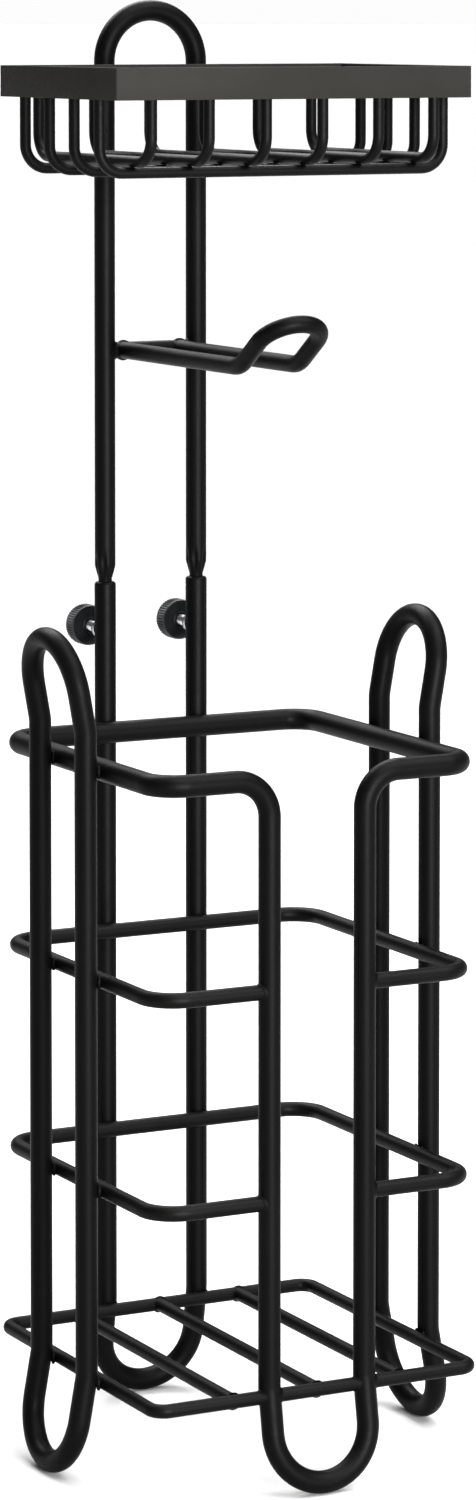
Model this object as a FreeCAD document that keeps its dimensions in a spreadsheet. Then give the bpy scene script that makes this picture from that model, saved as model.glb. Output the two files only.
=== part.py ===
import FreeCAD, Part
import math
import os

# Free-standing toilet paper holder: a welded tube basket on four looped feet, a height-adjustable
# pole frame plugged into its two back posts, a roll arm, a wire tray and two thumb screws.
# Millimetres. Origin on the floor under the middle of the basket, X right, Y to the back, Z up.

Vector = FreeCAD.Vector
doc = FreeCAD.newDocument("toilet_paper_holder")

driving = {
    # basket tubes
    "tubeDia": 12.0,
    "tubeBore": 9.6,
    "loopHalfPitch": 28.5,
    "rimHalfWidth": 92.5,
    "rimHalfDepth": 93.5,
    "rimHeight": 382.0,
    "rimCornerRadius": 16.0,
    "frontBendRadius": 20.0,
    "footKink": 57.5,
    "crownKink": 403.0,
    "splayAngle": 10.2,
    "kinkRadius": 20.0,
    "sideLoopTop": 456.5,
    "seamHeight": 220.0,
    # basket wires
    "ringDia": 8.4,
    "baseRingDia": 7.4,
    "ringPitch": 112.5,
    "baseHeight": 53.5,
    "ringCornerRadius": 18.0,
    "baseCornerRadius": 8.0,
    "floorBarPitch": 50.0,
    # back posts and the spigots that slide in them
    "postTop": 465.5,
    "mouthBore": 7.8,
    "mouthDepth": 12.0,
    "mouthRound": 1.8,
    # pole frame
    "poleDia": 11.6,
    "poleBore": 9.2,
    "poleTop": 790.5,
    "spigotDia": 7.6,
    "spigotBore": 5.6,
    "spigotLength": 90.0,
    "neckGap": 2.0,
    "shoulderLength": 7.0,
    # roll arm
    "armDia": 9.4,
    "armHeight": 595.0,
    "armHalfPitch": 17.5,
    "armReach": 144.0,
    "armBendRadius": 20.5,
    "armRise": 34.3,
    "armTipLength": 43.0,
    # tray
    "trayHalfWidth": 106.0,
    "trayFront": -70.2,
    "trayBack": 75.2,
    "trayTop": 755.0,
    "bandHeight": 17.0,
    "bandThickness": 1.5,
    "trayWireDia": 6.0,
    "trayDepth": 58.5,
    "trayWireBend": 13.0,
    "crossWirePitch": 33.7,
    "longWirePitch": 30.8,
    "standoffDia": 8.0,
    # thumb screws
    "screwHeight": 438.5,
    "screwDia": 6.0,
    "screwHoleDia": 6.1,
    "screwTipGap": 0.3,
    "insertDia": 9.0,
    "insertFlangeDia": 11.0,
    "insertFlange": 1.2,
    "knobDia": 23.0,
    "knobThickness": 9.5,
    "knobSetback": 19.0,
    "knobFlutes": 30.0,
    "knobFluteDia": 1.6,
    "knobFluteDepth": 0.45,
    "knobChamfer": 0.8,
    "studSunk": 5.0,
}
sheet = doc.addObject("Spreadsheet::Sheet", "sizes")
for row, (name, value) in enumerate(driving.items(), start=1):
    cell = "A%d" % row
    sheet.set(cell, str(value))
    sheet.setAlias(cell, name)
doc.recompute()


def size(name):
    return float(sheet.get(name))


nodes = []


def keep(obj, label):
    obj.Label = label
    nodes.append(obj)
    return obj


# ---------------------------------------------------------------- bent tube and wire
def bentPath(points, radii):
    """Straight runs joined by tangent arcs; one bend radius for each inner point."""
    runs = []
    start = points[0]
    for index in range(1, len(points) - 1):
        corner = points[index]
        back = (points[index - 1] - corner).normalize()
        ahead = (points[index + 1] - corner).normalize()
        half = (math.pi - back.getAngle(ahead)) / 2
        radius = radii[index - 1]
        setback = radius * math.tan(half)
        bendStart = corner + back * setback
        bendEnd = corner + ahead * setback
        inward = (back + ahead).normalize()
        middle = corner + inward * (radius / math.cos(half) - radius)
        if (bendStart - start).Length > 1e-4:
            runs.append(Part.LineSegment(start, bendStart).toShape())
        runs.append(Part.Arc(bendStart, middle, bendEnd).toShape())
        start = bendEnd
    if (points[-1] - start).Length > 1e-4:
        runs.append(Part.LineSegment(start, points[-1]).toShape())
    return Part.Wire(runs)


def bentBar(name, points, radii, diameter):
    """Round bar swept along a bent path; its diameter is an expression on the sheet."""
    path = doc.addObject("Part::Feature", name + "_path")
    path.Shape = bentPath(points, radii)
    profile = doc.addObject("Part::Circle", name + "_profile")
    profile.setExpression("Radius", "sizes.%s / 2" % diameter)
    profile.Placement = FreeCAD.Placement(
        points[0], FreeCAD.Rotation(Vector(0, 0, 1), points[1] - points[0]))
    bar = doc.addObject("Part::Sweep", name + "_sweep")
    bar.Sections = [profile]
    bar.Spine = (path, ["Edge%d" % (n + 1) for n in range(len(path.Shape.Edges))])
    bar.Solid = True
    bar.Transition = "Transformed"
    doc.recompute()
    return bar


def cut(name, base, tool):
    result = doc.addObject("Part::Cut", name)
    result.Base = base
    result.Tool = tool
    return result


def fuse(name, shapes):
    result = doc.addObject("Part::MultiFuse", name)
    result.Shapes = shapes
    return result


def cylinder(name, diameter, length, at, along):
    rod = doc.addObject("Part::Cylinder", name)
    rod.setExpression("Radius", "sizes.%s / 2" % diameter)
    if isinstance(length, str):
        rod.setExpression("Height", length)
    else:
        rod.Height = length
    rod.Placement = FreeCAD.Placement(at, FreeCAD.Rotation(Vector(0, 0, 1), along))
    return rod


tube = size("tubeDia")
half = size("loopHalfPitch")
rimX = size("rimHalfWidth")
rimY = size("rimHalfDepth")
sideX = rimX + tube
postY = rimY + tube
footZ = tube / 2
kinkZ = size("footKink")
kinkBend = size("kinkRadius")
splay = math.tan(math.radians(size("splayAngle")))
footOut = splay * (kinkZ - footZ)
seamZ = size("seamHeight")


# ---------------------------------------------------------------- basket
def rimTube():
    """Top rim and front loop, one closed tube that starts and ends in the right front bar."""
    top = size("rimHeight")
    corner = size("rimCornerRadius")
    frontBend = size("frontBendRadius")
    right = [
        (Vector(half, -rimY, kinkZ), kinkBend),
        (Vector(half, -rimY, top), frontBend),
        (Vector(rimX, -rimY, top), corner),
        (Vector(rimX, rimY, top), corner),
    ]
    foot = [
        (Vector(-half, -rimY, kinkZ), kinkBend),
        (Vector(-half, -rimY - footOut, footZ), half),
        (Vector(half, -rimY - footOut, footZ), half),
    ]
    left = [(Vector(-p.x, p.y, p.z), r) for p, r in reversed(right[1:])]
    seam = Vector(half, -rimY, seamZ)
    stations = right[1:] + left + foot + right[:1]
    points = [seam] + [p for p, r in stations] + [seam]
    return points, [r for p, r in stations]


def sideLoop(side):
    """Closed racetrack standing outside the rings, splayed outwards at its foot and its crown."""
    top = size("sideLoopTop") - tube / 2
    crownZ = size("crownKink")
    straight = side * sideX
    foot = side * (sideX + footOut)
    crown = side * (sideX + splay * (top - crownZ))
    ahead = [
        (Vector(straight, -half, kinkZ), kinkBend),
        (Vector(foot, -half, footZ), half),
    ]
    behind = [
        (Vector(straight, half, crownZ), kinkBend),
        (Vector(crown, half, top), half),
    ]
    stations = ahead + mirrorY(ahead) + behind + mirrorY(behind)
    seam = Vector(straight, -half, seamZ)
    points = [seam] + [p for p, r in stations] + [seam]
    return points, [r for p, r in stations]


def mirrorY(stations):
    return [(Vector(p.x, -p.y, p.z), r) for p, r in reversed(stations)]


def hollowTube(name, points, radii, outer="tubeDia", bore="tubeBore"):
    skin = bentBar(name + "_outer", points, radii, outer)
    core = bentBar(name + "_bore", points, radii, bore)
    return cut(name, skin, core), skin


def makeRim():
    points, radii = rimTube()
    rim, skin = hollowTube("rim_and_front_loop", points, radii)
    keep(rim, "rim_and_front_loop")
    return skin


def makeSideLoops():
    for side, name in ((-1, "left_loop"), (1, "right_loop")):
        points, radii = sideLoop(side)
        loop, skin = hollowTube(name, points, radii)
        keep(loop, name)


def topEdges(shape, height, radius):
    """Numbers of the circular edges of one radius that lie at one height."""
    found = []
    for number, edge in enumerate(shape.Edges, start=1):
        middle = edge.CenterOfMass
        flat = abs(middle.z - height) < 1e-3 and edge.BoundBox.ZLength < 1e-3
        if flat and abs(edge.Length - 2 * math.pi * radius) < 0.01:
            found.append(number)
    return found


def makePosts():
    """Back tube: two posts with rolled-in mouths, joined by the back foot."""
    top = size("postTop")
    side = [
        (Vector(-half, postY, kinkZ), kinkBend),
        (Vector(-half, postY + footOut, footZ), half),
    ]
    stations = side + [(Vector(-p.x, p.y, p.z), r) for p, r in reversed(side)]
    middle = [p for p, r in stations]
    radii = [r for p, r in stations]
    ends = [Vector(-half, postY, top), Vector(half, postY, top)]
    skin = bentBar("posts_outer", [ends[0]] + middle + [ends[1]], radii, "tubeDia")
    rolled = doc.addObject("Part::Fillet", "posts_rolled")
    rolled.Base = skin
    rolled.Edges = [(n, size("mouthRound"), size("mouthRound"))
                    for n in topEdges(skin.Shape, top, tube / 2)]
    drop = Vector(0, 0, -size("mouthDepth"))
    core = bentBar("posts_bore", [ends[0] + drop] + middle + [ends[1] + drop], radii, "tubeBore")
    tools = [core]
    for side, end in (("left", ends[0]), ("right", ends[1])):
        start = end - Vector(0, 0, size("mouthDepth") + 1)
        tools.append(cylinder("post_mouth_" + side, "mouthBore", "sizes.mouthDepth + 2", start,
                              Vector(0, 0, 1)))
        hole = Vector(end.x, postY, size("screwHeight"))
        tools.append(cylinder("post_hole_" + side, "insertDia", "sizes.tubeDia", hole,
                              Vector(0, 1, 0)))
    posts = cut("back_posts", rolled, fuse("posts_hollows", tools))
    keep(posts, "back_posts")
    return skin


def makeRing(name, height, wire, halfWidth, back, front, corner):
    """Wire ring open at the front; its ends butt against the sides of the two front bars."""
    stations = [
        (Vector(-halfWidth, -front, height), corner),
        (Vector(-halfWidth, back, height), corner),
        (Vector(halfWidth, back, height), corner),
        (Vector(halfWidth, -front, height), corner),
    ]
    points = [Vector(-half, -front, height)] + [p for p, r in stations]
    points.append(Vector(half, -front, height))
    return bentBar(name + "_whole", points, [r for p, r in stations], wire)


def makeBasketWires(rimSkin):
    reach = tube / 2 + size("ringDia") / 2
    for number, name in ((1, "upper_ring"), (2, "middle_ring")):
        height = size("rimHeight") - number * size("ringPitch")
        ring = makeRing(name, height, "ringDia", sideX - reach, postY - reach, rimY,
                        size("ringCornerRadius"))
        keep(cut(name, ring, rimSkin), name)
    # the base ring lies against bars that already lean outwards at its height
    lean = splay * (kinkZ - size("baseHeight"))
    reach = (tube / 2 + size("baseRingDia") / 2) / math.cos(math.atan(splay))
    backY = postY + lean - reach
    frontY = rimY + lean
    height = size("baseHeight")
    ring = makeRing("base_ring", height, "baseRingDia", sideX + lean - reach, backY, frontY,
                    size("baseCornerRadius"))
    keep(cut("base_ring", ring, rimSkin), "base_ring")
    link = cylinder("base_link_whole", "baseRingDia", "2 * sizes.loopHalfPitch",
                    Vector(-half, -frontY, height), Vector(1, 0, 0))
    keep(cut("base_front_link", link, rimSkin), "base_front_link")
    surround = fuse("base_surround", [ring, link])
    for step, name in ((-1, "floor_bar_left"), (0, "floor_bar_middle"), (1, "floor_bar_right")):
        at = Vector(step * size("floorBarPitch"), -frontY, height)
        bar = cylinder(name + "_whole", "baseRingDia", frontY + backY, at, Vector(0, 1, 0))
        keep(cut(name, bar, surround), name)


# ---------------------------------------------------------------- thumb screws and their inserts
def makeInserts(postSkin):
    """Flanged threaded insert riveted through the back wall of each post."""
    for side, name in ((-1, "left"), (1, "right")):
        axis = Vector(side * half, postY, size("screwHeight"))
        wall = axis + Vector(0, size("tubeBore") / 2, 0)
        shankLength = tube / 2 - size("tubeBore") / 2 + size("insertFlange")
        shank = cylinder("insert_shank_" + name, "insertDia", shankLength, wall, Vector(0, 1, 0))
        flange = cylinder("insert_flange_" + name, "insertFlangeDia",
                          tube / 2 + size("insertFlange"), axis, Vector(0, 1, 0))
        rim = cut("insert_rim_" + name, flange, postSkin)
        body = fuse("insert_body_" + name, [shank, rim])
        thread = cylinder("insert_thread_" + name, "screwHoleDia", "2 * sizes.tubeDia", axis,
                          Vector(0, 1, 0))
        keep(cut("thread_insert_" + name, body, thread), "thread_insert_" + name)


def makeThumbScrew(side, name):
    """Fluted knob on a plain-ended screw that bears on the spigot inside the post."""
    axis = Vector(side * half, postY, size("screwHeight"))
    tip = axis + Vector(0, size("spigotDia") / 2 + size("screwTipGap"), 0)
    face = axis + Vector(0, size("knobSetback"), 0)
    length = (face - tip).Length + size("studSunk")
    stud = cylinder("stud_" + name, "screwDia", length, tip, Vector(0, 1, 0))
    keep(stud, "screw_stud_" + name)

    blank = cylinder("knob_blank_" + name, "knobDia", "sizes.knobThickness", face, Vector(0, 1, 0))
    doc.recompute()
    rims = [n for n, edge in enumerate(blank.Shape.Edges, start=1)
            if edge.Closed and abs(edge.Length - math.pi * size("knobDia")) < 0.01]
    eased = doc.addObject("Part::Chamfer", "knob_eased_" + name)
    eased.Base = blank
    eased.Edges = [(n, size("knobChamfer"), size("knobChamfer")) for n in rims]
    socket = cylinder("knob_socket_" + name, "screwHoleDia",
                      "sizes.studSunk + sizes.screwTipGap + 1", face - Vector(0, 1, 0),
                      Vector(0, 1, 0))
    tools = [socket]
    count = int(size("knobFlutes"))
    radius = size("knobDia") / 2 + size("knobFluteDia") / 2 - size("knobFluteDepth")
    for number in range(count):
        angle = 2 * math.pi * number / count
        offset = Vector(radius * math.cos(angle), -1, radius * math.sin(angle))
        tools.append(cylinder("knob_flute_%s_%d" % (name, number), "knobFluteDia",
                              "sizes.knobThickness + 2", face + offset, Vector(0, 1, 0)))
    keep(cut("thumb_knob_" + name, eased, fuse("knob_cuts_" + name, tools)), "thumb_knob_" + name)


# ---------------------------------------------------------------- pole frame
def makePole():
    """Inverted U tube; each lower end is swaged down to a spigot that slides in a post."""
    crown = size("poleTop") - size("poleDia") / 2
    neck = size("postTop") + size("neckGap")
    shoulder = neck + size("shoulderLength")
    points = [
        Vector(-half, postY, shoulder),
        Vector(-half, postY, crown),
        Vector(half, postY, crown),
        Vector(half, postY, shoulder),
    ]
    skin = bentBar("pole_outer", points, [half, half], "poleDia")
    core = bentBar("pole_bore", points, [half, half], "poleBore")
    solids = [skin]
    hollows = [core]
    drop = size("postTop") - size("spigotLength")
    for side, name in ((-1, "left"), (1, "right")):
        foot = Vector(side * half, postY, neck)
        for kind, low, high, bucket in (("outer", "spigotDia", "poleDia", solids),
                                        ("inner", "spigotBore", "poleBore", hollows)):
            cone = doc.addObject("Part::Cone", "swage_%s_%s" % (kind, name))
            cone.setExpression("Radius1", "sizes.%s / 2" % low)
            cone.setExpression("Radius2", "sizes.%s / 2" % high)
            cone.setExpression("Height", "sizes.shoulderLength")
            cone.Placement = FreeCAD.Placement(foot, FreeCAD.Rotation())
            bucket.append(cone)
        end = Vector(side * half, postY, drop)
        solids.append(cylinder("spigot_" + name, "spigotDia",
                               "sizes.spigotLength + sizes.neckGap", end, Vector(0, 0, 1)))
        hollows.append(cylinder("spigot_bore_" + name, "spigotBore",
                                "sizes.spigotLength + sizes.neckGap", end, Vector(0, 0, 1)))
    keep(cut("pole", fuse("pole_solid", solids), fuse("pole_hollow", hollows)), "pole")
    return skin


def makeRollArm(poleSkin):
    """Hairpin arm with an upturned tip, on a crossbar between the two pole legs."""
    height = size("armHeight")
    pitch = size("armHalfPitch")
    knee = postY - size("armReach")
    rise = math.radians(size("armRise"))
    tipY = knee - size("armTipLength") * math.cos(rise)
    tipZ = height + size("armTipLength") * math.sin(rise)
    points = [
        Vector(-pitch, postY, height),
        Vector(-pitch, knee, height),
        Vector(-pitch, tipY, tipZ),
        Vector(pitch, tipY, tipZ),
        Vector(pitch, knee, height),
        Vector(pitch, postY, height),
    ]
    bend = size("armBendRadius")
    hairpin = bentBar("roll_arm_whole", points, [bend, pitch, pitch, bend], "armDia")
    bar = cylinder("arm_crossbar_whole", "armDia", "2 * sizes.loopHalfPitch",
                   Vector(-half, postY, height), Vector(1, 0, 0))
    keep(cut("arm_crossbar", bar, poleSkin), "arm_crossbar")
    keep(cut("roll_arm", hairpin, bar), "roll_arm")


# ---------------------------------------------------------------- tray
def makeTray(poleSkin):
    """Flat-bar band with two sets of U wires welded under its edge, on two stand-offs."""
    top = size("trayTop")
    band = size("bandThickness")
    wire = size("trayWireDia")
    width = size("trayHalfWidth")
    front = size("trayFront")
    back = size("trayBack")
    bottom = top - size("bandHeight")
    outer = doc.addObject("Part::Box", "band_outer")
    outer.setExpression("Length", "2 * sizes.trayHalfWidth")
    outer.setExpression("Width", "sizes.trayBack - sizes.trayFront")
    outer.setExpression("Height", "sizes.bandHeight")
    outer.Placement = FreeCAD.Placement(Vector(-width, front, bottom), FreeCAD.Rotation())
    inner = doc.addObject("Part::Box", "band_inner")
    inner.setExpression("Length", "2 * (sizes.trayHalfWidth - sizes.bandThickness)")
    inner.setExpression("Width", "sizes.trayBack - sizes.trayFront - 2 * sizes.bandThickness")
    inner.setExpression("Height", "sizes.bandHeight + 2")
    inner.Placement = FreeCAD.Placement(
        Vector(-width + band, front + band, bottom - 1), FreeCAD.Rotation())
    keep(cut("tray_band", outer, inner), "tray_band")

    bend = size("trayWireBend")
    inset = wire / 2
    longZ = top - size("trayDepth") + wire / 2
    crossZ = longZ + wire
    middleY = (front + back) / 2
    for number in range(4):
        y = middleY + (number - 1.5) * size("longWirePitch")
        x = width - inset
        points = [Vector(-x, y, bottom), Vector(-x, y, longZ), Vector(x, y, longZ),
                  Vector(x, y, bottom)]
        name = "tray_long_wire_%d" % (number + 1)
        keep(bentBar(name, points, [bend, bend], "trayWireDia"), name)
    low = front + inset
    high = back - inset
    for number in range(6):
        x = (number - 2.5) * size("crossWirePitch")
        points = [Vector(x, low, bottom), Vector(x, low, crossZ), Vector(x, high, crossZ),
                  Vector(x, high, bottom)]
        name = "tray_cross_wire_%d" % (number + 1)
        keep(bentBar(name, points, [bend, bend], "trayWireDia"), name)
    for side, name in ((-1, "left"), (1, "right")):
        at = Vector(side * half, back, top - size("bandHeight") / 2)
        rod = cylinder("standoff_" + name, "standoffDia", postY - back, at, Vector(0, 1, 0))
        keep(cut("tray_standoff_" + name, rod, poleSkin), "tray_standoff_" + name)


def report(obj):
    shape = obj.Shape
    print("%-22s %9.1f mm3  %d solid  %s" % (obj.Label, shape.Volume, len(shape.Solids),
                                             "valid" if shape.isValid() else "NOT VALID"))


rimSkin = makeRim()
makeSideLoops()
postSkin = makePosts()
makeBasketWires(rimSkin)
makeInserts(postSkin)
for side, name in ((-1, "left"), (1, "right")):
    makeThumbScrew(side, name)
poleSkin = makePole()
makeRollArm(poleSkin)
makeTray(poleSkin)
doc.recompute()

for obj in doc.Objects:
    if "Invalid" in obj.State or "Error" in obj.State:
        raise SystemExit("%s is %s" % (obj.Label, obj.State))
for obj in nodes:
    if obj.Shape.isNull() or not obj.Shape.isValid():
        raise SystemExit("%s has no valid shape" % obj.Label)
    report(obj)

os.makedirs("parts", exist_ok=True)
for obj in nodes:
    obj.Shape.exportStep("parts/%s.step" % obj.Label)
print("%d nodes written" % len(nodes))
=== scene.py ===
import math

import bmesh
import bpy
from mathutils import Matrix, Vector


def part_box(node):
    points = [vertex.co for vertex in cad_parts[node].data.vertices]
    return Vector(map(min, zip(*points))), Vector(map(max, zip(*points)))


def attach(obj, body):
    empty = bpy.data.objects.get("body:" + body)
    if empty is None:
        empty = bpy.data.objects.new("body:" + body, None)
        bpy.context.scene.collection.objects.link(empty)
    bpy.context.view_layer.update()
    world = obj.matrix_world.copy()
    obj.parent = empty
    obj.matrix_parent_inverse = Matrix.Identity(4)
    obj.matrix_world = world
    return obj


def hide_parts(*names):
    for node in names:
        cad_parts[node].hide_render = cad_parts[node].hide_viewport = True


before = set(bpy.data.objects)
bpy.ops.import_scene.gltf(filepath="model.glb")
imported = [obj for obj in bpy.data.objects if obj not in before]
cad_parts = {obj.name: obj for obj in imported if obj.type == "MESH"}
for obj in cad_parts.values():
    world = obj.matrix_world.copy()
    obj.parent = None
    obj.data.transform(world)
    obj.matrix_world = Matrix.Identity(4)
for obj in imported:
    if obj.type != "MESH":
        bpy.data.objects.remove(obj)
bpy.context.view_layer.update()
scene = bpy.context.scene

# all sizes are in metres: x to the right, y to the back, z up from the floor
up = Vector((0, 0, 1))
right = Vector((1, 0, 0))
back = Vector((0, 1, 0))
stay = Vector((0, 0, 0))

# detail and roughness of each kind of noise, and the part of its range that shows
noises = {"cloud": (3, 0.5), "peel": (2, 0.4), "grain": (2, 0.6), "ground": (2, 0.5)}
noiseRange = (0.3, 0.7)


def newMaterial(name):
    material = bpy.data.materials.new(name)
    material.use_nodes = True
    nodes = material.node_tree.nodes
    nodes.clear()
    shader = nodes.new("ShaderNodeBsdfPrincipled")
    output = nodes.new("ShaderNodeOutputMaterial")
    material.node_tree.links.new(shader.outputs["BSDF"], output.inputs["Surface"])
    return material, shader


def noiseOn(material, kind, scale, stretch=(1, 1, 1)):
    nodes, links = material.node_tree.nodes, material.node_tree.links
    detail, roughness = noises[kind]
    place = nodes.new("ShaderNodeTexCoord")
    mapping = nodes.new("ShaderNodeMapping")
    mapping.inputs["Scale"].default_value = stretch
    noise = nodes.new("ShaderNodeTexNoise")
    noise.inputs["Scale"].default_value = scale
    noise.inputs["Detail"].default_value = detail
    noise.inputs["Roughness"].default_value = roughness
    links.new(place.outputs["Object"], mapping.inputs["Vector"])
    links.new(mapping.outputs["Vector"], noise.inputs["Vector"])
    return noise.outputs["Fac"]


def spread(material, signal, wanted, given=noiseRange):
    # stretch the signal from the range it is given in to the range that is wanted
    nodes, links = material.node_tree.nodes, material.node_tree.links
    scaled = nodes.new("ShaderNodeMapRange")
    scaled.inputs["From Min"].default_value, scaled.inputs["From Max"].default_value = given
    scaled.inputs["To Min"].default_value, scaled.inputs["To Max"].default_value = wanted
    links.new(signal, scaled.inputs["Value"])
    return scaled.outputs["Result"]


def blendColours(material, signal, dark, light):
    nodes, links = material.node_tree.nodes, material.node_tree.links
    ramp = nodes.new("ShaderNodeValToRGB")
    for stop, share, colour in zip(ramp.color_ramp.elements, noiseRange, (dark, light)):
        stop.position = share
        stop.color = (*colour, 1)
    links.new(signal, ramp.inputs["Fac"])
    return ramp.outputs["Color"]


def mixColours(material, amount, first, second):
    nodes, links = material.node_tree.nodes, material.node_tree.links
    mix = nodes.new("ShaderNodeMix")
    mix.data_type = "RGBA"
    links.new(amount, mix.inputs["Factor"])
    links.new(first, mix.inputs[6])         # the two colour inputs and the colour result have
    links.new(second, mix.inputs[7])        # the same names as the plain ones, so go by number
    return mix.outputs[2]


def bumpChain(material, shader, layers):
    nodes, links = material.node_tree.nodes, material.node_tree.links
    normal = None
    for signal, strength, height in layers:
        bump = nodes.new("ShaderNodeBump")
        bump.inputs["Strength"].default_value = strength
        bump.inputs["Distance"].default_value = height
        links.new(signal, bump.inputs["Height"])
        if normal:
            links.new(normal, bump.inputs["Normal"])
        normal = bump.outputs["Normal"]
    links.new(normal, shader.inputs["Normal"])


coats = {
    "tube": {"dark": (0.0009, 0.0008, 0.0008), "light": (0.0015, 0.0013, 0.0013),
             "roughness": (0.42, 0.50), "specular": 0.040, "cloudScale": 14,
             "peelScale": 620, "peelStrength": 0.35, "peelHeight": 0.0001,
             "grainScale": 2600, "grainStrength": 0.3, "grainHeight": 0.00003},
    "wire": {"dark": (0.0010, 0.0009, 0.0009), "light": (0.0017, 0.0015, 0.0014),
             "roughness": (0.42, 0.50), "specular": 0.050, "cloudScale": 20,
             "peelScale": 700, "peelStrength": 0.35, "peelHeight": 0.0001,
             "grainScale": 2600, "grainStrength": 0.3, "grainHeight": 0.00003},
    "band": {"dark": (0.0105, 0.0102, 0.0090), "light": (0.0135, 0.0130, 0.0115),
             "roughness": (0.48, 0.58), "specular": 0.03, "cloudScale": 18,
             "peelScale": 560, "peelStrength": 0.4, "peelHeight": 0.0001,
             "grainScale": 2400, "grainStrength": 0.35, "grainHeight": 0.00003},
}


def powderCoat(name, coat):
    # satin powder coat: soft orange peel, a fine grain on top, and a slightly uneven sheen
    material, shader = newMaterial(name)
    links = material.node_tree.links
    cloud = noiseOn(material, "cloud", coat["cloudScale"])
    peel = noiseOn(material, "peel", coat["peelScale"])
    grain = noiseOn(material, "grain", coat["grainScale"])
    links.new(blendColours(material, cloud, coat["dark"], coat["light"]),
              shader.inputs["Base Color"])
    links.new(spread(material, peel, coat["roughness"]), shader.inputs["Roughness"])
    shader.inputs["Specular IOR Level"].default_value = coat["specular"]
    bumpChain(material, shader, [(peel, coat["peelStrength"], coat["peelHeight"]),
                                 (grain, coat["grainStrength"], coat["grainHeight"])])
    return material


steel = {"dark": (0.50, 0.50, 0.51), "light": (0.68, 0.68, 0.69), "roughness": (0.2, 0.36),
         "smudgeScale": 260, "scratchScale": 900, "scratchStretch": (1, 12, 1),
         "scratchStrength": 0.25, "scratchHeight": 0.00002}


def turnedSteel(name):
    # bright plated steel with fine turning marks round its axis
    material, shader = newMaterial(name)
    links = material.node_tree.links
    smudge = noiseOn(material, "cloud", steel["smudgeScale"])
    scratch = noiseOn(material, "grain", steel["scratchScale"], steel["scratchStretch"])
    links.new(blendColours(material, smudge, steel["dark"], steel["light"]),
              shader.inputs["Base Color"])
    links.new(spread(material, scratch, steel["roughness"]), shader.inputs["Roughness"])
    shader.inputs["Metallic"].default_value = 1.0
    bumpChain(material, shader, [(scratch, steel["scratchStrength"], steel["scratchHeight"])])
    return material


plastic = {"dark": (0.0010, 0.0015, 0.0022), "light": (0.0020, 0.0028, 0.0038),
           # the two rim colours are a painted sheen: paler than the faces, for the light that the
           # flutes catch
           "rimSheenDark": (0.0150, 0.0160, 0.0165), "rimSheenLight": (0.0260, 0.0275, 0.0280),
           "rimSheenFade": (0.01050, 0.01090),     # radii between which the painted sheen on the rim begins
           "roughness": (0.40, 0.52), "specular": 0.12, "cloudScale": 90,
           "grainScale": 1800, "grainStrength": 0.3, "grainHeight": 0.00004}


def fromScrewAxis(material):
    # distance from the axis of the nearer screw, the two being mirror images in x
    nodes, links = material.node_tree.nodes, material.node_tree.links
    low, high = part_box("thumb_knob_right")
    place = nodes.new("ShaderNodeTexCoord")
    parts = nodes.new("ShaderNodeSeparateXYZ")
    links.new(place.outputs["Object"], parts.inputs["Vector"])
    across = nodes.new("ShaderNodeMath")
    across.operation = "ABSOLUTE"
    links.new(parts.outputs["X"], across.inputs[0])
    joined = nodes.new("ShaderNodeCombineXYZ")
    links.new(across.outputs["Value"], joined.inputs["X"])
    links.new(parts.outputs["Z"], joined.inputs["Z"])
    distance = nodes.new("ShaderNodeVectorMath")
    distance.operation = "DISTANCE"
    distance.inputs[1].default_value = ((low[0] + high[0]) / 2, 0, (low[2] + high[2]) / 2)
    links.new(joined.outputs["Vector"], distance.inputs[0])
    return distance.outputs["Value"]


def mouldedPlastic(name):
    # the fluted rim is painted paler than the faces: a painted sheen standing in for the light its
    # flutes catch
    material, shader = newMaterial(name)
    links = material.node_tree.links
    cloud = noiseOn(material, "cloud", plastic["cloudScale"])
    grain = noiseOn(material, "grain", plastic["grainScale"])
    rim = spread(material, fromScrewAxis(material), (0, 1), plastic["rimSheenFade"])
    face = blendColours(material, cloud, plastic["dark"], plastic["light"])
    # the rim's paler colour is a painted sheen for the light that the flutes catch
    paintedSheen = blendColours(material, cloud, plastic["rimSheenDark"], plastic["rimSheenLight"])
    links.new(mixColours(material, rim, face, paintedSheen), shader.inputs["Base Color"])
    links.new(spread(material, grain, plastic["roughness"]), shader.inputs["Roughness"])
    shader.inputs["Specular IOR Level"].default_value = plastic["specular"]
    bumpChain(material, shader, [(grain, plastic["grainStrength"], plastic["grainHeight"])])
    return material


tubeCoat = powderCoat("tubePowderCoat", coats["tube"])
wireCoat = powderCoat("wirePowderCoat", coats["wire"])
bandCoat = powderCoat("bandPowderCoat", coats["band"])
zincSteel = turnedSteel("zincSteel")
knobPlastic = mouldedPlastic("knobPlastic")
print("materials: done")

shaping = {
    "sharpAngle": 35,         # degrees: edges folded more than this stay crisp
    "merge": 1e-7,
    "seamMerge": 2e-6,        # closes the seam of a loop
    "shortestRun": 1e-6,
}


def piece(name, bm, material, body, nodes=(), sharp=shaping["sharpAngle"]):
    bmesh.ops.remove_doubles(bm, verts=bm.verts, dist=shaping["merge"])
    bmesh.ops.recalc_face_normals(bm, faces=bm.faces)
    for face in bm.faces:
        face.smooth = True
    for edge in bm.edges:
        if edge.is_manifold and edge.calc_face_angle() > math.radians(sharp):
            edge.smooth = False
    mesh = bpy.data.meshes.new(name)
    bm.to_mesh(mesh)
    bm.free()
    mesh.materials.append(material)
    made = bpy.data.objects.new(name, mesh)
    scene.collection.objects.link(made)
    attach(made, body)
    if nodes:
        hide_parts(*nodes)


def straightBar(node, axis):
    # the middle and the radius of a round bar that runs along an axis
    low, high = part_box(node)
    radius = max(high[n] - low[n] for n in range(3) if n != axis) / 2
    return (Vector(low) + Vector(high)) / 2, radius


def ringOf(geometry):
    verts = {g for g in geometry if isinstance(g, bmesh.types.BMVert)}
    return [g for g in geometry if isinstance(g, bmesh.types.BMEdge)
            and g.verts[0] in verts and g.verts[1] in verts]


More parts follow.
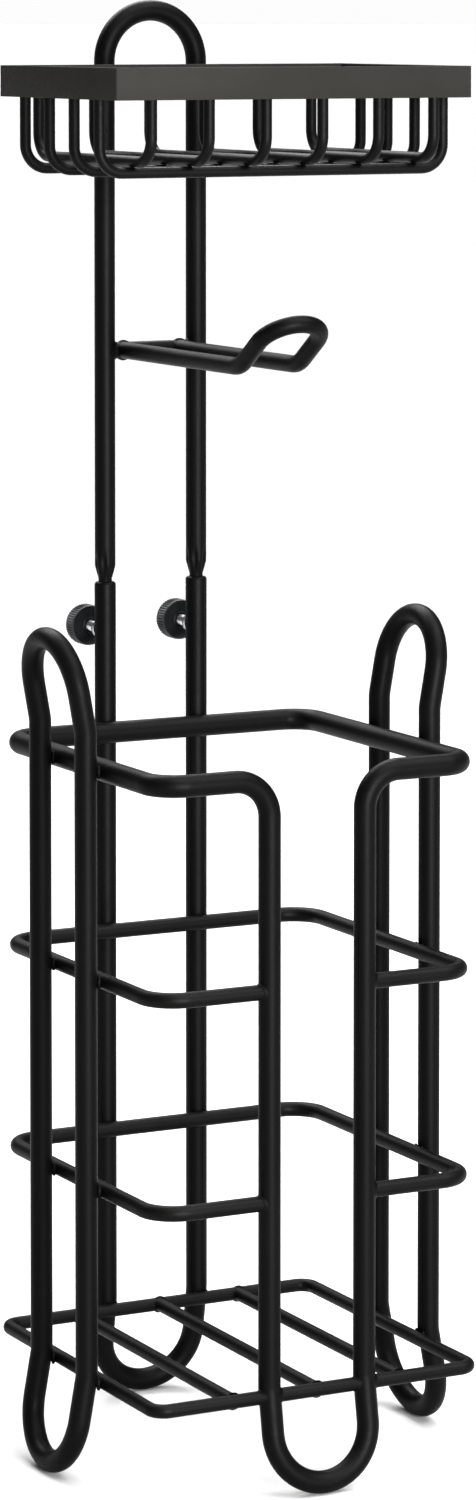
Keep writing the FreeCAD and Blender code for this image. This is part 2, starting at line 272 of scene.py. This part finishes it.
def startRing(bm, at, heading, radius, sides):
    turned = up.rotation_difference(heading).to_matrix().to_4x4()
    made = bmesh.ops.create_circle(bm, cap_ends=False, segments=sides, radius=radius,
                                   matrix=Matrix.Translation(at) @ turned)
    return list({edge for vert in made["verts"] for edge in vert.link_edges})


def pushRing(bm, edges, offset, centre=None, grow=1.0):
    # carry the open end along, and if asked make it wider or narrower
    made = bmesh.ops.extrude_edge_only(bm, edges=edges)
    verts = [g for g in made["geom"] if isinstance(g, bmesh.types.BMVert)]
    bmesh.ops.translate(bm, verts=verts, vec=offset)
    if grow != 1.0:
        bmesh.ops.scale(bm, verts=verts, vec=(grow, grow, grow),
                        space=Matrix.Translation(-centre))
    return ringOf(made["geom"])


def pushProfile(bm, edges, start, heading, profile):
    # carry the open end through each (distance, radius); the first pair is where it is now
    rings = [edges]
    for (before, radius), (distance, wanted) in zip(profile, profile[1:]):
        rings.append(pushRing(bm, rings[-1], heading * (distance - before),
                              start + heading * distance, wanted / radius))
    return rings


def followRoute(bm, edges, corners, bends, stepAngle):
    # straight runs are pushed, bends are spun about their own centre
    at = corners[0]
    heading = (corners[1] - corners[0]).normalized()
    for index, bend in enumerate(bends, start=1):
        corner = corners[index]
        ahead = (corners[index + 1] - corner).normalized()
        turn = heading.angle(ahead)
        setback = bend * math.tan(turn / 2)
        bendStart = corner - heading * setback
        if (bendStart - at).length > shaping["shortestRun"]:
            edges = pushRing(bm, edges, bendStart - at)
        inward = (ahead - heading * heading.dot(ahead)).normalized()
        spun = bmesh.ops.spin(bm, geom=edges + list({v for e in edges for v in e.verts}),
                              cent=bendStart + inward * bend, axis=heading.cross(ahead),
                              dvec=stay, angle=turn,
                              steps=max(3, round(math.degrees(turn) / stepAngle)),
                              use_merge=False, use_duplicate=False)
        edges = ringOf(spun["geom_last"])
        at = corner + ahead * setback
        heading = ahead
    if (corners[-1] - at).length > shaping["shortestRun"]:
        edges = pushRing(bm, edges, corners[-1] - at)
    return edges


def bentBar(corners, bends, radius, sides, stepAngle=None, closed=False):
    bm = bmesh.new()
    first = startRing(bm, corners[0], (corners[1] - corners[0]).normalized(), radius, sides)
    last = followRoute(bm, first, corners, bends, stepAngle)
    if closed:
        bmesh.ops.remove_doubles(bm, verts=bm.verts, dist=shaping["seamMerge"])
    else:
        bmesh.ops.holes_fill(bm, edges=first + last, sides=sides)
    return bm


def mirrored(stations, axis):
    # the same corners and bends on the other side, in the order that carries a route on
    flip = Vector((-1, 1, 1)) if axis == "x" else Vector((1, -1, 1))
    return [(corner * flip, bend) for corner, bend in reversed(stations)]


def routeOf(start, stations, end):
    corners = [start] + [corner for corner, bend in stations] + [end]
    return corners, [bend for corner, bend in stations]


weld = {
    "leg": 0.0011,            # how far a fillet reaches along each of its two bars
    "toe": 0.0002,            # its thin edge is buried this deep
    "hollow": (0.4, 0.35),    # where its sloping face dips, as shares of the leg
    "hug": 1.01,              # the rest of it stays near the bar: shares of the bar's radius
    "core": 0.8,
    "wrap": 0.97,             # how far round the crossing bar it may follow
    "sides": 28,
    "beadSides": 10,
    "beadEnd": 0.35,          # width of a bead's ends, as a share of its middle
    "beadRipple": 0.9,
    "basketBead": {"length": 0.0068, "radius": 0.0017, "ripples": 4},
    "basketBeadOffset": 0.0036,
    "trayBead": {"length": 0.0058, "radius": 0.0014, "ripples": 3},
    "trayBeadIn": 0.0008,     # from the band's inner face
    "trayBeadUp": 0.0006,     # from the band's lower edge
}


def fillet(bm, centre, heading, along, bar, crossing):
    # weld round the end of a bar, following the bar it meets; centre is on the axis of that one
    side = heading.cross(along)
    leg = weld["leg"]
    outwards, upwards = weld["hollow"]
    rows = [(bar + leg, -weld["toe"]), (bar + leg * outwards, leg * upwards),
            (bar * weld["hug"], leg), (bar * weld["core"], leg), (bar * weld["core"], -leg)]
    first = edges = startRing(bm, centre, heading, rows[0][0], weld["sides"])
    for row, (reach, lift) in enumerate(rows):
        if row:
            edges = pushRing(bm, edges, stay)
        for vert in {v for edge in edges for v in edge.verts}:
            flat = vert.co - centre
            flat = flat - heading * flat.dot(heading)
            flat = flat.normalized() * reach
            drop = min(abs(flat.dot(side)), crossing * weld["wrap"])
            vert.co = centre + flat + heading * (math.sqrt(crossing ** 2 - drop ** 2) + lift)
    bmesh.ops.bridge_loops(bm, edges=first + edges)


def bead(bm, middle, along, size):
    # short weld bead: a rounded rod with a slight ripple from each stitch
    end, steps = weld["beadEnd"], 2 * size["ripples"]
    profile = [(0, size["radius"] * end)]
    for step in range(1, steps + 1):
        share = step / steps
        swell = end + (1 - end) * math.sin(math.pi * share)
        ripple = 1 if step % 2 else weld["beadRipple"]
        profile.append((size["length"] * share, size["radius"] * swell * ripple))
    start = middle - along * size["length"] / 2
    first = startRing(bm, start, along, profile[0][1], weld["beadSides"])
    last = pushProfile(bm, first, start, along, profile)[-1]
    bmesh.ops.holes_fill(bm, edges=first + last, sides=weld["beadSides"])


basket = {
    "tube": 0.006,            # tube radius
    "halfPitch": 0.0285,      # from a loop's middle to each of its two bars
    "kinkHeight": 0.0575,     # where the bars begin to lean out to the feet
    "crownKink": 0.403,       # where the side loops lean out again
    "kinkBend": 0.020,
    "frontBend": 0.020,
    "rimCorner": 0.016,
    "lean": 10.2,             # degrees
    "sideSeam": 0.22,         # height of the side loops' seam
    "sides": 44,
    "stepAngle": 4,
}
rimLow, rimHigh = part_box("rim_and_front_loop")
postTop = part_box("back_posts")[1][2]
tube = basket["tube"]
half = basket["halfPitch"]
rimX = rimHigh[0] - tube
rimBack = rimHigh[1] - tube
rimZ = rimHigh[2] - tube
footZ = rimLow[2] + tube
kinkZ = basket["kinkHeight"]
slope = math.tan(math.radians(basket["lean"]))
footOut = slope * (kinkZ - footZ)
sideX = rimX + 2 * tube
postY = rimBack + 2 * tube


def closedLoop(name, node, seam, stations):
    corners, bends = routeOf(seam, stations, seam)
    bm = bentBar(corners, bends, tube, basket["sides"], basket["stepAngle"], closed=True)
    piece(name, bm, tubeCoat, "basket", [node])


def makeRim():
    kink, corner = basket["kinkBend"], basket["rimCorner"]
    top = [(Vector((half, -rimBack, rimZ)), basket["frontBend"]),
           (Vector((rimX, -rimBack, rimZ)), corner),
           (Vector((rimX, rimBack, rimZ)), corner)]
    down = [(Vector((-half, -rimBack, kinkZ)), kink),
            (Vector((-half, -rimBack - footOut, footZ)), half)]
    stations = top + mirrored(top, "x") + down + mirrored(down, "x")
    seam = Vector((half, -rimBack, (rimZ + kinkZ) / 2))
    closedLoop("rimAndFrontLoop", "rim_and_front_loop", seam, stations)


def makeSideLoop(name, node, side):
    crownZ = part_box(node)[1][2] - tube
    crownOut = slope * (crownZ - basket["crownKink"])
    kink = basket["kinkBend"]
    x = side * sideX
    below = [(Vector((x, -half, kinkZ)), kink),
             (Vector((x + side * footOut, -half, footZ)), half)]
    above = [(Vector((x, half, basket["crownKink"])), kink),
             (Vector((x + side * crownOut, half, crownZ)), half)]
    stations = below + mirrored(below, "y") + above + mirrored(above, "y")
    closedLoop(name, node, Vector((x, -half, basket["sideSeam"])), stations)


posts = {
    "mouthBore": 0.0039,      # radius of the rolled-in mouth
    "mouthDepth": 0.012,
    "lip": 0.0018,
    "lipSegments": 6,
}


def makePosts():
    down = [(Vector((-half, postY, kinkZ)), basket["kinkBend"]),
            (Vector((-half, postY + footOut, footZ)), half)]
    leftEnd, rightEnd = Vector((-half, postY, postTop)), Vector((half, postY, postTop))
    corners, bends = routeOf(leftEnd, down + mirrored(down, "x"), rightEnd)
    bm = bmesh.new()
    first = startRing(bm, leftEnd, -up, tube, basket["sides"])
    last = followRoute(bm, first, corners, bends, basket["stepAngle"])
    for edges, end in ((first, leftEnd), (last, rightEnd)):
        mouth = [(0, tube), (0, posts["mouthBore"]), (posts["mouthDepth"], posts["mouthBore"])]
        bottom = pushProfile(bm, edges, end, -up, mouth)[-1]
        bmesh.ops.holes_fill(bm, edges=bottom, sides=basket["sides"])
    bmesh.ops.bevel(bm, geom=first + last, offset=posts["lip"], offset_type="OFFSET",
                    affect="EDGES", segments=posts["lipSegments"], profile=0.5, material=-1)
    piece("backPosts", bm, tubeCoat, "basket", ["back_posts"])


rings = {
    "corner": 0.018,
    "baseCorner": 0.008,
    "runIn": 0.8,             # how far the ends reach into the front bars, in bar radii
    "sides": 32,
    "stepAngle": 5,
}


def makeRing(name, node, corner):
    low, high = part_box(node)
    radius = (high[2] - low[2]) / 2
    z = (high[2] + low[2]) / 2
    x, behind, front = high[0] - radius, high[1] - radius, low[1] + radius
    end = half + tube * rings["runIn"]
    stations = [(Vector((-x, front, z)), corner), (Vector((-x, behind, z)), corner)]
    corners, bends = routeOf(Vector((-end, front, z)), stations + mirrored(stations, "x"),
                             Vector((end, front, z)))
    bm = bentBar(corners, bends, radius, rings["sides"], rings["stepAngle"])
    piece(name, bm, wireCoat, "basket", [node])


def makeStraightBar(name, node, body, material, axis, sides=rings["sides"]):
    low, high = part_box(node)
    middle, radius = straightBar(node, axis)
    start, end = middle.copy(), middle.copy()
    start[axis], end[axis] = low[axis], high[axis]
    piece(name, bentBar([start, end], [], radius, sides), material, body, [node])


makeRim()
makeSideLoop("leftLoop", "left_loop", -1)
makeSideLoop("rightLoop", "right_loop", 1)
makePosts()
makeRing("upperRing", "upper_ring", rings["corner"])
makeRing("middleRing", "middle_ring", rings["corner"])
makeRing("baseRing", "base_ring", rings["baseCorner"])
makeStraightBar("baseFrontLink", "base_front_link", "basket", wireCoat, 0)
floorBars = ("left", "middle", "right")
for which in floorBars:
    makeStraightBar("floorBar" + which.capitalize(), "floor_bar_" + which, "basket", wireCoat,
                    1)


def makeBasketWelds():
    bm = bmesh.new()
    wires = [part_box(node) for node in ("upper_ring", "middle_ring", "base_ring")]
    heights = [(low[2] + high[2]) / 2 for low, high in wires]
    # pairs of beads where the rim and the rings touch the side loops and the posts
    for z in [rimZ] + heights:
        lean = max(0, slope * (kinkZ - z))
        contact = sideX - tube + lean
        for step in (-weld["basketBeadOffset"], weld["basketBeadOffset"]):
            for n in (-half, half):
                bead(bm, Vector((-contact, n + step, z)), up, weld["basketBead"])
                bead(bm, Vector((contact, n + step, z)), up, weld["basketBead"])
                bead(bm, Vector((n + step, postY - tube + lean, z)), up, weld["basketBead"])
    # fillets where the rings and the link meet the front bars
    for (low, high), z in zip(wires, heights):
        radius = (high[2] - low[2]) / 2
        for side in (-1, 1):
            fillet(bm, Vector((side * half, low[1] + radius, z)), right * side, up, radius, tube)
    link, radius = straightBar("base_front_link", 0)
    for side in (-1, 1):
        fillet(bm, Vector((side * half, link.y, link.z)), right * -side, up, radius, tube)
    # and where the floor bars meet the base ring
    ringLow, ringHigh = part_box("base_ring")
    ringRadius = (ringHigh[2] - ringLow[2]) / 2
    for which in floorBars:
        bar, radius = straightBar("floor_bar_" + which, 1)
        for y, heading in ((ringLow[1] + ringRadius, back), (ringHigh[1] - ringRadius, -back)):
            fillet(bm, Vector((bar.x, y, bar.z)), heading, right, radius, ringRadius)
    piece("basketWelds", bm, tubeCoat, "basket")


makeBasketWelds()
print("basket: loops, posts, rings, floor bars and welds")

knob = {
    "studRadius": 0.0031,     # the hole that the stud comes out of
    "studHole": 0.004,
    "flutes": 48,
    "fluteDepth": 0.0006,
    "fluteSides": 4,          # edges round each flute
    "chamfer": 0.0006,
    "lip": 0.0001,            # step between the front face and the chamfer
    "bossRadius": 0.0048,
    "bossHeight": 0.0007,
    "bossRound": (0.0004, 0.0003),
    "recess": (0.1, 0.2),     # height of the front face's edge, as shares of the boss
    "recessSlope": 0.0006,
    "dishRadius": 0.0078,     # shallow dish in the outer end
    "dishDepth": 0.0008,
    "dishSlope": 0.0006,
    "dishCrown": (0.4, 0.0002),
    "sharpAngle": 50,
}


def makeKnob(side):
    node = "thumb_knob_" + side
    low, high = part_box(node)
    radius = (high[0] - low[0]) / 2
    thickness = high[1] - low[1]
    axis = Vector(((low[0] + high[0]) / 2, low[1], (low[2] + high[2]) / 2))
    boss, bossHeight, dish = knob["bossRadius"], knob["bossHeight"], knob["dishRadius"]
    face, stud, depth = radius - knob["chamfer"], knob["studRadius"], knob["dishDepth"]
    roundIn, roundUp = knob["bossRound"]
    edge, shoulder = (bossHeight * share for share in knob["recess"])
    rimStart = shoulder + knob["chamfer"]
    rimEnd = thickness - knob["chamfer"]
    crownShare, crownDrop = knob["dishCrown"]
    front = [(0, stud), (0, boss - roundIn), (roundUp, boss), (bossHeight, boss),
             (bossHeight, face - knob["recessSlope"]), (edge, face),
             (shoulder, face + knob["lip"]), (rimStart, radius)]
    rim = [(rimStart + (rimEnd - rimStart) * share, radius) for share in (0, 0.25, 0.75, 1)]
    end = [(rimEnd, radius), (thickness, face), (thickness, dish + knob["dishSlope"]),
           (thickness - depth, dish - knob["dishSlope"]),
           (thickness - depth - crownDrop, dish * crownShare)]
    sides = knob["flutes"] * knob["fluteSides"]
    bm = bmesh.new()
    hub = startRing(bm, axis, back, stud, sides)
    fluted = pushProfile(bm, pushProfile(bm, hub, axis, back, front)[-1], axis, back, rim)
    crown = pushProfile(bm, fluted[-1], axis, back, end)[-1]
    bmesh.ops.holes_fill(bm, edges=crown, sides=sides)
    bmesh.ops.holes_fill(bm, edges=pushRing(bm, hub, back * knob["studHole"]), sides=sides)
    for vert in {v for ring in fluted for e in ring for v in e.verts}:
        outward = Vector((vert.co.x - axis.x, 0, vert.co.z - axis.z))
        angle = math.atan2(outward.z, outward.x)
        groove = 0.5 - 0.5 * math.cos(angle * knob["flutes"])
        vert.co -= outward.normalized() * knob["fluteDepth"] * groove
    piece("thumbKnob" + side.capitalize(), bm, knobPlastic, "knob_" + side,
          [node], knob["sharpAngle"])


thread = {
    "pitch": 0.001,
    "depth": 0.00052,
    "steps": 28,              # to a turn
    # one groove to the next: height above the root as a share of the depth, then place
    # along the axis as a share of the pitch
    "profile": ((0, 0.0), (0, 0.12), (1, 0.45), (1, 0.55), (0, 0.88), (0, 1.0)),
    "merge": 1e-6,
    "sharpAngle": 60,
}


def makeStud(side):
    node = "screw_stud_" + side
    low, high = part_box(node)
    root = (high[0] - low[0]) / 2 - thread["depth"]
    pitch = thread["pitch"]
    axis = Vector(((low[0] + high[0]) / 2, 0, (low[2] + high[2]) / 2))
    turns = math.ceil((high[1] - low[1]) / pitch) + 1
    start = low[1] - pitch
    bm = bmesh.new()
    profile = [bm.verts.new((axis.x + root + thread["depth"] * lift, start + pitch * share, axis.z))
               for lift, share in thread["profile"]]
    edges = [bm.edges.new(pair) for pair in zip(profile, profile[1:])]
    # a right-hand helix about the screw's axis, one profile to each pitch
    bmesh.ops.spin(bm, geom=profile + edges, cent=axis, axis=back,
                   dvec=back * pitch / thread["steps"], angle=2 * math.pi * turns,
                   steps=thread["steps"] * turns, use_merge=False, use_duplicate=False)
    bmesh.ops.remove_doubles(bm, verts=bm.verts, dist=thread["merge"])
    # cut square at both ends, because the helix starts and stops beyond them
    for y, outwards in ((low[1], -1), (high[1], 1)):
        geometry = bm.verts[:] + bm.edges[:] + bm.faces[:]
        sliced = bmesh.ops.bisect_plane(bm, geom=geometry, plane_co=(0, y, 0),
                                        plane_no=(0, outwards, 0), clear_outer=True)
        cut = [g for g in sliced["geom_cut"] if isinstance(g, bmesh.types.BMEdge)]
        bmesh.ops.edgeloop_fill(bm, edges=cut)
    piece("screwStud" + side.capitalize(), bm, zincSteel, "stud_" + side, [node],
          thread["sharpAngle"])


insert = {
    "bore": 0.00308,
    "sunk": 0.0022,           # how far it goes into the post
    "bevel": 0.0003,
    "bevelSegments": 3,
    "sides": 40,
}


def makeInsert(side):
    # flanged collar standing out of the post, the screw runs through it
    node = "thread_insert_" + side
    low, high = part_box(node)
    axis = Vector(((low[0] + high[0]) / 2, postY, (low[2] + high[2]) / 2))
    outer, bore = (high[2] - low[2]) / 2, insert["bore"]
    sunk, proud = tube - insert["sunk"], high[1] - postY
    bm = bmesh.new()
    inner = startRing(bm, axis + back * sunk, back, bore, insert["sides"])
    collar = [(sunk, bore), (sunk, outer), (proud, outer), (proud, bore)]
    flange, lip = pushProfile(bm, inner, axis, back, collar)[-2:]
    bmesh.ops.bridge_loops(bm, edges=inner + lip)
    bmesh.ops.bevel(bm, geom=flange, offset=insert["bevel"], offset_type="OFFSET",
                    affect="EDGES", segments=insert["bevelSegments"], profile=0.5, material=-1)
    piece("threadInsert" + side.capitalize(), bm, zincSteel, "basket", [node])


for screwSide in ("left", "right"):
    makeKnob(screwSide)
    makeStud(screwSide)
    makeInsert(screwSide)
print("thumb screws: knobs, studs and inserts")

pole = {
    "sides": 48,
    "stepAngle": 4,
    "spigot": 0.0038,         # radius
    "neckGap": 0.002,         # bare spigot above the post when the pole is right down
    "shoulder": 0.007,        # height of the swell from the spigot to the tube
    "shoulderSteps": 7,
    "shoulderCurve": 0.9,
    "jaws": 6,                # dents that the crimping tool leaves round the tube
    "jawTurn": 0.4,           # radians
    "jawHeight": 0.0100,      # how far they run up the tube
    "jawDepth": 0.0011,
    "jawSteps": 8,
    "clear": 1e-5,            # the rings at both ends of the crimp stay round
    "sharpAngle": 50,
}
poleLow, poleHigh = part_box("pole")
poleRadius = (poleHigh[1] - poleLow[1]) / 2


def makePole():
    neck = postTop + pole["neckGap"]
    shoulder = neck + pole["shoulder"]
    crimpTop = shoulder + pole["jawHeight"]
    crown = poleHigh[2] - poleRadius
    # heights and radii up one leg, from the end of the spigot to where the round tube begins
    crimp = [(poleLow[2], pole["spigot"]), (neck, pole["spigot"])]
    for step in range(1, pole["shoulderSteps"] + 1):
        share = step / pole["shoulderSteps"]
        swell = (poleRadius - pole["spigot"]) * share ** pole["shoulderCurve"]
        crimp.append((neck + pole["shoulder"] * share, pole["spigot"] + swell))
    for step in range(1, pole["jawSteps"] + 1):
        crimp.append((shoulder + pole["jawHeight"] * step / pole["jawSteps"], poleRadius))
    leftFoot, rightFoot = Vector((-half, postY, 0)), Vector((half, postY, 0))
    bm = bmesh.new()
    first = startRing(bm, leftFoot + up * poleLow[2], up, pole["spigot"], pole["sides"])
    edges = pushProfile(bm, first, leftFoot, up, crimp)[-1]
    corners = [leftFoot + up * crimpTop, leftFoot + up * crown, rightFoot + up * crown,
               rightFoot + up * crimpTop]
    edges = followRoute(bm, edges, corners, [half, half], pole["stepAngle"])
    last = pushProfile(bm, edges, rightFoot, up, crimp[::-1])[-1]
    bmesh.ops.holes_fill(bm, edges=first + last, sides=pole["sides"])
    # the dents fade out up the tube and down into the spigot
    for vert in bm.verts:
        z = vert.co.z
        if not neck + pole["clear"] < z < crimpTop - pole["clear"]:
            continue
        outward = Vector((vert.co.x - math.copysign(half, vert.co.x), vert.co.y - postY, 0))
        if z > shoulder:
            fade = 1 - (z - shoulder) / (crimpTop - shoulder)
            fade = fade * fade * (3 - 2 * fade)
        else:
            fade = (z - neck) / (shoulder - neck)
        angle = math.atan2(outward.y, outward.x)
        dent = (0.5 + 0.5 * math.cos(pole["jaws"] * angle + pole["jawTurn"])) ** 2
        vert.co -= outward.normalized() * pole["jawDepth"] * dent * fade
    piece("pole", bm, tubeCoat, "pole_frame", ["pole"], pole["sharpAngle"])


arm = {
    "bend": 0.0205,
    "knee": -0.0385,          # where the two rods turn up
    "rise": 34.3,             # degrees
    "tipLength": 0.043,
    "runIn": 0.7,             # the rods start this far in front of the crossbar's axis, in radii
    "sides": 36,
    "stepAngle": 5,
}
crossbar, armRadius = straightBar("arm_crossbar", 0)
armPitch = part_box("roll_arm")[1][0] - armRadius


def makeRollArm():
    rise = math.radians(arm["rise"])
    reach, lift = arm["tipLength"] * math.cos(rise), arm["tipLength"] * math.sin(rise)
    start = Vector((-armPitch, postY - armRadius * arm["runIn"], crossbar.z))
    rod = [(Vector((-armPitch, arm["knee"], crossbar.z)), arm["bend"]),
           (Vector((-armPitch, arm["knee"] - reach, crossbar.z + lift)), armPitch)]
    corners, bends = routeOf(start, rod + mirrored(rod, "x"), start * Vector((-1, 1, 1)))
    bm = bentBar(corners, bends, armRadius, arm["sides"], arm["stepAngle"])
    piece("rollArm", bm, tubeCoat, "pole_frame", ["roll_arm"])
    makeStraightBar("armCrossbar", "arm_crossbar", "pole_frame", tubeCoat, 0,
                    arm["sides"])


tray = {
    "thickness": 0.0015,      # of the band
    "corner": 0.0009,         # outside radius of its folded corners
    "cornerSegments": 4,
    "edge": 0.0003,
    "edgeSegments": 2,
    "wires": {"long": (0, 4), "cross": (1, 6)},     # the axis they run along, and how many
    "wireBend": 0.013,
    "wireUp": 0.0004,         # how far their ends go on behind the band
    "wireSides": 28,
    "stepAngle": 6,
}


def makeBand():
    low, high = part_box("tray_band")
    centre = (Vector(low) + Vector(high)) / 2
    size = Vector(high) - Vector(low)
    bm = bmesh.new()
    bmesh.ops.create_cube(bm, size=1.0, matrix=Matrix.Translation(centre) @ Matrix.Diagonal(
        (*size, 1)))

    def climb(edge):
        return abs(edge.verts[0].co.z - edge.verts[1].co.z)

    lids = [face for face in bm.faces if abs(face.normal.z) > 0.5]
    bmesh.ops.delete(bm, geom=lids, context="FACES_ONLY")
    folds = [edge for edge in bm.edges if climb(edge) > size.z / 2]
    bmesh.ops.bevel(bm, geom=folds, offset=tray["corner"], offset_type="OFFSET",
                    affect="EDGES", segments=tray["cornerSegments"], profile=0.5, material=-1)
    bmesh.ops.recalc_face_normals(bm, faces=bm.faces)
    if sum(face.normal.dot(face.calc_center_median() - centre) for face in bm.faces) < 0:
        bmesh.ops.reverse_faces(bm, faces=bm.faces)
    bmesh.ops.solidify(bm, geom=bm.faces[:], thickness=tray["thickness"])
    rims = [edge for edge in bm.edges if edge.is_manifold and climb(edge) < shaping["merge"]
            and edge.calc_face_angle() > math.radians(shaping["sharpAngle"])]
    bmesh.ops.bevel(bm, geom=rims, offset=tray["edge"], offset_type="OFFSET", affect="EDGES",
                    segments=tray["edgeSegments"], profile=0.5, material=-1)
    piece("trayBand", bm, bandCoat, "pole_frame", ["tray_band"])


def makeTrayWires():
    for kind, (axis, count) in tray["wires"].items():
        for number in range(1, count + 1):
            node = "tray_%s_wire_%d" % (kind, number)
            low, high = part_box(node)
            radius = (high[1 - axis] - low[1 - axis]) / 2
            corner = Vector((0, 0, low[2] + radius))
            corner[1 - axis] = (low[1 - axis] + high[1 - axis]) / 2
            start, end = corner.copy(), corner.copy()
            start[axis], end[axis] = low[axis] + radius, high[axis] - radius
            top = up * (high[2] - corner.z + tray["wireUp"])
            bm = bentBar([start + top, start, end, end + top], [tray["wireBend"]] * 2, radius,
                         tray["wireSides"], tray["stepAngle"])
            piece("tray%sWire%d" % (kind.capitalize(), number), bm, wireCoat, "pole_frame",
                  [node])


def makePoleWelds():
    bm = bmesh.new()
    for side in (-1, 1):
        fillet(bm, Vector((side * armPitch, postY, crossbar.z)), -back, right, armRadius,
               armRadius)
        fillet(bm, Vector((side * half, postY, crossbar.z)), right * -side, up, armRadius,
               poleRadius)
    for side in ("left", "right"):
        rod, radius = straightBar("tray_standoff_" + side, 1)
        fillet(bm, Vector((rod.x, postY, rod.z)), -back, up, radius, poleRadius)
    # a short bead under each wire's end, where it meets the band
    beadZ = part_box("tray_band")[0][2] + weld["trayBeadUp"]
    inside = tray["thickness"] + weld["trayBeadIn"]
    for kind, (axis, count) in tray["wires"].items():
        for number in range(1, count + 1):
            low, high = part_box("tray_%s_wire_%d" % (kind, number))
            at, along = Vector((0, 0, beadZ)), Vector((0, 0, 0))
            at[1 - axis] = (low[1 - axis] + high[1 - axis]) / 2
            along[1 - axis] = 1
            for end in (low[axis] + inside, high[axis] - inside):
                at[axis] = end
                bead(bm, at, along, weld["trayBead"])
    piece("poleWelds", bm, tubeCoat, "pole_frame")


makePole()
makeRollArm()
makeBand()
makeTrayWires()
for rodSide in ("left", "right"):
    makeStraightBar("trayStandoff" + rodSide.capitalize(), "tray_standoff_" + rodSide,
                    "pole_frame", tubeCoat, 1)
makePoleWelds()
print("pole frame: pole, arm, tray and welds")

ground = {
    "tones": (0.43, 0.44),
    "noiseScale": 6,
    "roughness": 0.9,
    "specular": 0.1,
    "radius": 300,
    "sides": 96,
    "drop": 0.0001,           # keeps it clear of the feet
}


def makeFloor():
    material, shader = newMaterial("floor")
    tone = noiseOn(material, "ground", ground["noiseScale"])
    dark, light = ((value,) * 3 for value in ground["tones"])
    material.node_tree.links.new(blendColours(material, tone, dark, light),
                                 shader.inputs["Base Color"])
    shader.inputs["Roughness"].default_value = ground["roughness"]
    shader.inputs["Specular IOR Level"].default_value = ground["specular"]
    bm = bmesh.new()
    bmesh.ops.create_circle(bm, cap_ends=True, segments=ground["sides"], radius=ground["radius"],
                            matrix=Matrix.Translation(up * -ground["drop"]))
    mesh = bpy.data.meshes.new("floor")
    bm.to_mesh(mesh)
    bm.free()
    mesh.materials.append(material)
    floor = bpy.data.objects.new("floor", mesh)
    scene.collection.objects.link(floor)


studio = {
    "world": (0.98, 0.98, 0.98),
    "horizon": 1.0,           # brightness of the backdrop where it meets the floor
    "overhead": 0.12,
    "fade": (0.03, 0.16),     # heights, as a share of straight up, between which it falls off
    "sun": {"strength": 8.0, "spread": 60, "from": (0.25, -0.38, 1.0)},
    "boxes": {
        "frontBox": {"at": (-0.1, -2.8, 0.66), "size": (1.25, 1.3), "power": 235},
        "topBox": {"at": (0.2, 1.6, 2.2), "size": (2.0, 1.2), "power": 120},
    },
    "aim": (0, 0, 0.42),
}


def makeBackdrop():
    world = bpy.data.worlds.new("studio")
    world.use_nodes = True
    nodes, links = world.node_tree.nodes, world.node_tree.links
    sky = nodes["Background"]
    sky.inputs["Color"].default_value = (*studio["world"], 1)
    place = nodes.new("ShaderNodeTexCoord")
    parts = nodes.new("ShaderNodeSeparateXYZ")
    fade = nodes.new("ShaderNodeMapRange")
    fade.inputs["From Min"].default_value, fade.inputs["From Max"].default_value = studio["fade"]
    fade.inputs["To Min"].default_value = studio["horizon"]
    fade.inputs["To Max"].default_value = studio["overhead"]
    links.new(place.outputs["Generated"], parts.inputs["Vector"])
    links.new(parts.outputs["Z"], fade.inputs["Value"])
    links.new(fade.outputs["Result"], sky.inputs["Strength"])
    scene.world = world


def stand(name, data, at, ahead):
    # put a light or the camera in its place, looking ahead
    holder = bpy.data.objects.new(name, data)
    holder.location = at
    holder.rotation_mode = "QUATERNION"
    holder.rotation_quaternion = ahead.to_track_quat("-Z", "Y")
    scene.collection.objects.link(holder)
    return holder


def makeLights():
    sun = bpy.data.lights.new("sun", "SUN")
    sun.energy = studio["sun"]["strength"]
    sun.angle = math.radians(studio["sun"]["spread"])
    stand("sun", sun, stay, -Vector(studio["sun"]["from"]))
    for name, box in studio["boxes"].items():
        light = bpy.data.lights.new(name, "AREA")
        light.shape = "RECTANGLE"
        light.size, light.size_y = box["size"]
        light.energy = box["power"]
        holder = stand(name, light, box["at"], Vector(studio["aim"]) - Vector(box["at"]))
        holder.visible_camera = False


viewpoint = {"at": (-1.1913, -2.3180, 0.7840), "yaw": 27.218, "pitch": 3.422, "lens": 115.73,
             "shift": -0.30, "clip": (0.05, 1000)}


def makeCamera():
    camera = bpy.data.cameras.new("camera")
    camera.lens = viewpoint["lens"]
    camera.shift_y = viewpoint["shift"]
    camera.clip_start, camera.clip_end = viewpoint["clip"]
    yaw, pitch = math.radians(viewpoint["yaw"]), math.radians(viewpoint["pitch"])
    ahead = Vector((math.sin(yaw) * math.cos(pitch), math.cos(yaw) * math.cos(pitch),
                    -math.sin(pitch)))
    scene.camera = stand("camera", camera, viewpoint["at"], ahead)


scene.view_settings.view_transform = "Standard"
makeFloor()
makeBackdrop()
makeLights()
makeCamera()
print("floor, light and camera: done")
